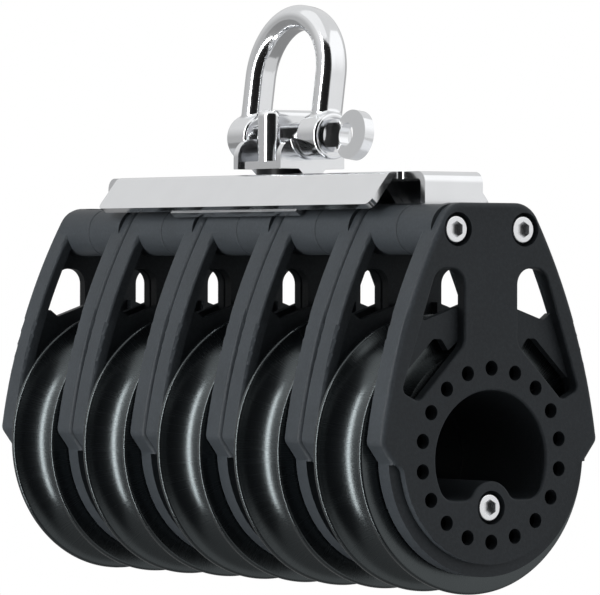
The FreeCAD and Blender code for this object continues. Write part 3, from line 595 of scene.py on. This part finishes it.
def sheave_profile(settings, outside, half_width):
    """One side of a sheave's section, from the thrust rib round to the middle of the groove.

    A point is (x, 0, radius).
    """
    lip = settings.flange - settings.lip
    deep = outside - settings.root
    sweep = (lip * lip + deep * deep) / (2 * deep)
    reach = math.asin(min(lip / sweep, 1.0))
    if deep > sweep:
        reach = math.pi - reach
    groove = []
    for step in range(GROOVE_STEPS + 1):
        angle = reach * (1 - step / GROOVE_STEPS)
        height = settings.root + sweep - sweep * math.cos(angle)
        groove.append(Vector((sweep * math.sin(angle), 0, height)))
    inner = [
        (settings.rib_half, 0, settings.rib),
        (settings.rib_half, 0, settings.bore),
        (half_width, 0, settings.bore),
        (half_width, 0, settings.neck),
        (settings.flange, 0, settings.neck),
    ]
    top = (settings.flange, 0, outside)
    into_groove = groove[1] + (groove[1] - groove[0]) * 2
    points = [Vector(point) for point in inner]
    points += rounded_corner(inner[-1], top, groove[0], settings.lip_round)
    points += rounded_corner(top, groove[0], into_groove, settings.lip_round)
    points += [point for point in groove[1:] if point.z < points[-1].z]
    return points


def lathe_tree():
    """Turn a section, given as a loop of points in the XZ plane, round the X axis.

    A square grid has a column for each step round and a row for each point of the section, and is bent into
    shape. The last row repeats the first, and both seams are merged.
    """
    maker = Maker("lathe", {
        "Segments": "NodeSocketInt", "Centre": "NodeSocketFloat", "Material": "NodeSocketMaterial"})
    section = maker.given("Geometry")
    count = maker.node("GeometryNodeAttributeDomainSize", {"component": "MESH"}, [section])
    grid = maker.node("GeometryNodeMeshGrid", {}, {
        "Size X": 1.0, "Size Y": 1.0, "Vertices X": maker.given("Segments") + 1, "Vertices Y": count + 1})
    place = maker.node("GeometryNodeInputPosition", {}, [])
    across, down = maker.node("ShaderNodeSeparateXYZ", {}, [place], ("X", "Y"))
    turn = (across + 0.5) * (2 * math.pi)
    row = ((down + 0.5) * count).math("ROUND").math("MODULO", count)
    sample = {"data_type": "FLOAT_VECTOR", "domain": "POINT"}
    point = maker.node("GeometryNodeSampleIndex", sample, {"Geometry": section, "Value": place, "Index": row})
    along, radius = maker.node("ShaderNodeSeparateXYZ", {}, [point], ("X", "Z"))
    moved = maker.node("ShaderNodeCombineXYZ", {}, [
        along + maker.given("Centre"), radius * turn.math("SINE"), radius * turn.math("COSINE")])
    turned = maker.node("GeometryNodeSetPosition", {}, {"Geometry": grid, "Position": moved})
    closed = maker.node("GeometryNodeMergeByDistance", {}, {"Geometry": turned, "Distance": SEAM})
    shaded = maker.node("GeometryNodeSetShadeSmooth", {"domain": "FACE"}, [closed, True, True])
    maker.end(shaded, maker.given("Material"))
    return maker


def outward(piece):
    """Point a closed mesh's faces outwards and keep its sharp edges."""
    shell = bmesh.new()
    shell.from_mesh(piece.data)
    bmesh.ops.recalc_face_normals(shell, faces=shell.faces)
    shell.to_mesh(piece.data)
    shell.free()
    piece.data.set_sharp_from_angle(angle=SMOOTH_ANGLE)


class BLOCK_OT_sheaves(bpy.types.Operator):
    """Turn the five sheaves from one section"""

    bl_idname = "block.sheaves"
    bl_label = "Sheaves"

    def execute(self, context):
        settings = context.scene.block_sheave
        base = tuple(context.scene.block_finish.sheave)
        plastic = turned_plastic("sheave_plastic", base, roughness=0.26)
        maker = lathe_tree()
        for node in SHEAVES:
            low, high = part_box(node)
            centre = (low[0] + high[0]) / 2
            half = sheave_profile(settings, (high[2] - low[2]) / 2, (high[0] - low[0]) / 2)
            mirror = [Vector((-point.x, 0, point.z)) for point in reversed(half) if point.x > ON_MIDDLE]
            points = half + mirror
            edges = [(index, (index + 1) % len(points)) for index in range(len(points))]
            piece = new_piece(f"turned_{node}", points, edges)
            maker.apply(piece, {"Segments": settings.segments, "Centre": centre, "Material": plastic})
            outward(piece)
            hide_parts(node)
            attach(piece, f"{node}_body")
        return {"FINISHED"}


class BLOCK_OT_balls(bpy.types.Operator):
    """Finish the balls and the swivel's washer"""

    bl_idname = "block.balls"
    bl_label = "Balls and washer"

    def execute(self, context):
        base = tuple(context.scene.block_finish.sheave)
        plastic = moulded_plastic("ball_plastic", base, pale=1.3, roughness=0.34, grain=0.002 * MM)
        dress([*BALLS, "swivel_washer"], plastic)
        return {"FINISHED"}


class BLOCK_OT_steel(bpy.types.Operator):
    """Finish the steel pieces"""

    bl_idname = "block.steel"
    bl_label = "Steel"

    def execute(self, context):
        steel = tuple(context.scene.block_finish.steel)
        sheet = polished_steel("polished_sheet", steel, roughness=0.16, brush=LINES_ALONG_X)
        forged = polished_steel("polished_forging", steel, roughness=0.13, brush=LINES_ALL_WAYS)
        fastener = polished_steel("fastener_steel", steel, roughness=0.26, brush=LINES_ALL_WAYS)
        dress(["head_strap", "load_plate"], sheet)
        dress(["shackle_bow", "shackle_pin", "swivel_post", "swivel_cradle", "stud_nut"], forged)
        dress(["head_bolts", "head_nuts", "hub_bolt", "hub_nut"], fastener)
        return {"FINISHED"}


# Add-on

class BLOCK_PT_panel(bpy.types.Panel):
    """The block's steps and settings"""

    bl_idname = "BLOCK_PT_panel"
    bl_label = "Five-sheave block"
    bl_space_type = "VIEW_3D"
    bl_region_type = "UI"
    bl_category = "Block"

    def draw(self, context):
        for step in STEPS:
            self.layout.operator(step.bl_idname)
        for label, kind in SETTINGS.items():
            for name in kind.__annotations__:
                self.layout.prop(getattr(context.scene, label), name)


STEPS = (BLOCK_OT_cheeks, BLOCK_OT_sheaves, BLOCK_OT_balls, BLOCK_OT_steel, BLOCK_OT_studio)
SETTINGS = {
    "block_studio": BlockStudioSettings,
    "block_finish": BlockFinishSettings,
    "block_sheave": BlockSheaveSettings,
}
CLASSES = (*SETTINGS.values(), *STEPS, BLOCK_PT_panel)


def register():
    for item in CLASSES:
        bpy.utils.register_class(item)
    for name, group in SETTINGS.items():
        setattr(bpy.types.Scene, name, bpy.props.PointerProperty(type=group))


def unregister():
    for name in SETTINGS:
        delattr(bpy.types.Scene, name)
    for item in reversed(CLASSES):
        bpy.utils.unregister_class(item)


def main():
    register()
    for step in STEPS:
        group, name = step.bl_idname.split(".")
        getattr(getattr(bpy.ops, group), name)()


if __name__ == "__main__":
    main()
